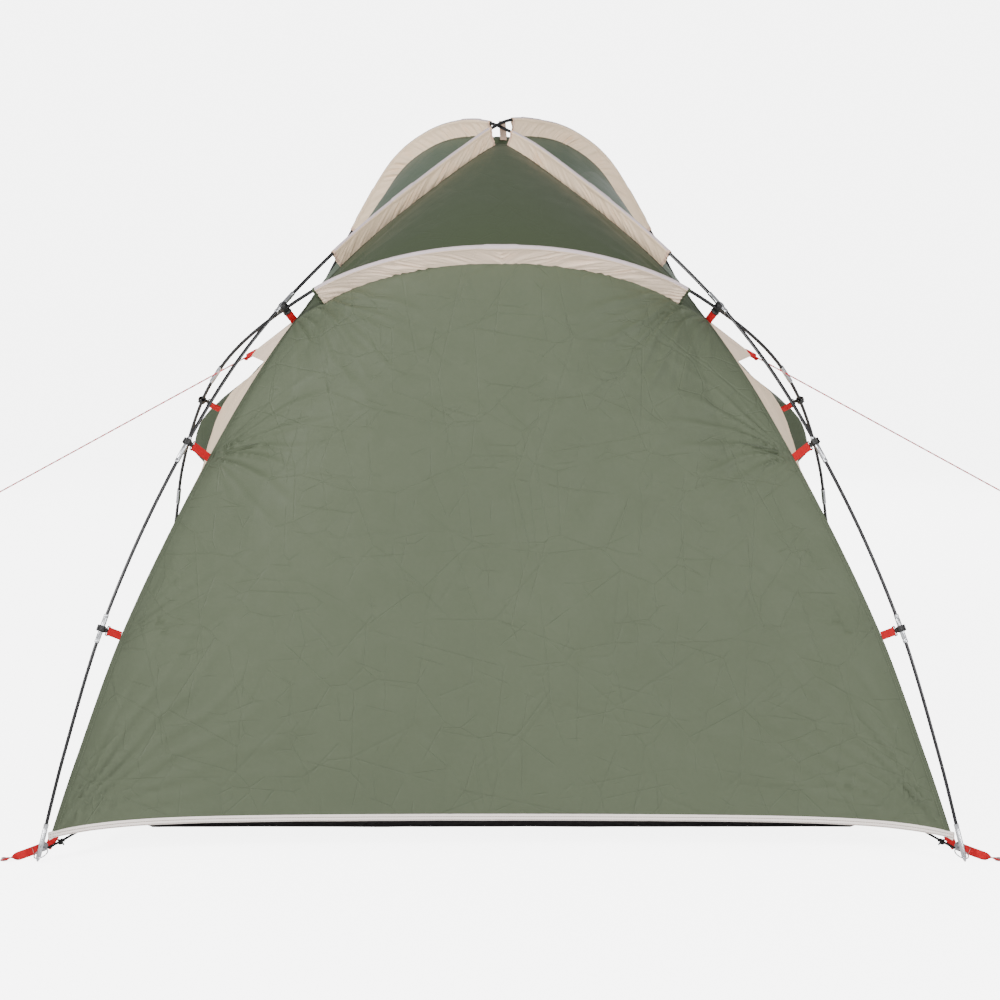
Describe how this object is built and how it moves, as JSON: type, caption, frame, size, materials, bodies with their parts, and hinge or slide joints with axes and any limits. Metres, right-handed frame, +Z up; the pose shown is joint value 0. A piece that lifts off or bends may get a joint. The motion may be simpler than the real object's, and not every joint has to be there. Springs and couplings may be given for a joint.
{
  "type": "dome tent on poles",
  "caption": "Dome tent: olive canopy clipped and sleeved under two crossed poles and a leaning hoop pole, with awning door, side vent hoods, corner straps and guylines.",
  "frame": {"origin": "on the ground, straight below the crossing of the two long poles", "axes": "+X to the right seen from the rear, +Y from the rear wall to the door, +Z up"},
  "size_m": [3.1304, 2.1892, 1.9411],
  "materials": {
    "pole_black": "gloss pultruded fibreglass",
    "steel": "plated steel, satin",
    "disc_grey": "satin",
    "webbing_red": "woven webbing",
    "plastic_black": "matte moulded",
    "elastic_black": "braided",
    "fabric_cream": "coated polyester, slight sheen",
    "fabric_olive": "coated polyester, slight sheen",
    "fabric_dark_olive": "coated polyester, slight sheen",
    "mesh_black": "insect mesh",
    "zip_black": "zip tape and coil",
    "floor_grey": "woven polyethylene",
    "guyline_red": "braided, red with white flecks"
  },
  "bodies": {
    "tent": {"x_pole_left_rods": "pole_black", "x_pole_right_rods": "pole_black", "hoop_pole_rods": "pole_black", "x_pole_left_ferrules": "steel", "x_pole_right_ferrules": "steel", "hoop_pole_ferrules": "steel", "pole_foot_tubes": "steel", "corner_rings": "steel", "corner_discs": "disc_grey", "corner_straps": "webbing_red", "peg_straps": "webbing_red", "peg_eyelets": "steel", "corner_elastics": "elastic_black", "elastic_toggles": "plastic_black", "leg_clips": "plastic_black", "crossing_clips": "plastic_black", "clip_webbings": "webbing_red", "crossing_webbings": "webbing_red", "peak_loop": "fabric_cream", "peak_patch": "fabric_dark_olive", "rear_sleeve_left": "fabric_cream", "rear_sleeve_right": "fabric_cream", "front_sleeve_left": "fabric_cream", "front_sleeve_right": "fabric_cream", "hoop_sleeve": "fabric_cream", "rear_panel": "fabric_olive", "rear_roof": "fabric_olive", "front_roof": "fabric_olive", "side_panel_left": "fabric_olive", "side_panel_right": "fabric_olive", "side_gusset_left": "fabric_cream", "side_gusset_right": "fabric_cream", "side_lower_left": "fabric_olive", "side_lower_right": "fabric_olive", "front_wall_left": "fabric_olive", "front_wall_right": "fabric_olive", "groundsheet": "floor_grey", "rear_hem": "fabric_cream", "side_hem_left": "fabric_cream", "side_hem_right": "fabric_cream", "front_hem_left": "fabric_cream", "front_hem_right": "fabric_cream", "door_zip_left": "zip_black", "door_zip_right": "zip_black", "vent_mesh_left": "mesh_black", "vent_mesh_right": "mesh_black", "guy_patch_left": "fabric_cream", "guy_patch_right": "fabric_cream", "guy_loop_left": "webbing_red", "guy_loop_right": "webbing_red", "guyline_left": "guyline_red", "guyline_right": "guyline_red"},
    "door": {"door": "fabric_olive", "door_hem": "fabric_cream"},
    "slider_left": {"zip_slider_left": "steel"},
    "slider_right": {"zip_slider_right": "steel"},
    "hood_left": {"vent_hood_left": "fabric_dark_olive"},
    "hood_right": {"vent_hood_right": "fabric_dark_olive"},
    "runner_left": {"guy_runner_left": "plastic_black"},
    "runner_right": {"guy_runner_right": "plastic_black"}
  },
  "joints": [
    {"name": "door_swing", "type": "hinge", "parent": "tent", "child": "door", "pos_m": [0, 0.577, 1.18965], "axis": [1, 0, 0], "range_deg": [0, 95]},
    {"name": "slider_left_run", "type": "slide", "parent": "tent", "child": "slider_left", "axis": [0.204, -0.3348, 0.9199], "range_m": [0, 1.15]},
    {"name": "slider_right_run", "type": "slide", "parent": "tent", "child": "slider_right", "axis": [-0.204, -0.3348, 0.9199], "range_m": [0, 1.15]},
    {"name": "hood_left_tuck", "type": "hinge", "parent": "tent", "child": "hood_left", "pos_m": [-0.76195, 0.03565, 1.1292], "axis": [-0.3058, -0.9084, -0.2852], "range_deg": [-6, 0]},
    {"name": "hood_right_tuck", "type": "hinge", "parent": "tent", "child": "hood_right", "pos_m": [0.76195, 0.03565, 1.1292], "axis": [-0.3058, 0.9084, 0.2852], "range_deg": [-6, 0]},
    {"name": "runner_left_run", "type": "slide", "parent": "tent", "child": "runner_left", "axis": [0.8789, 0, 0.4769], "range_m": [0, 0.03]},
    {"name": "runner_right_run", "type": "slide", "parent": "tent", "child": "runner_right", "axis": [-0.8789, 0, 0.4769], "range_m": [0, 0.03]}
  ]
}
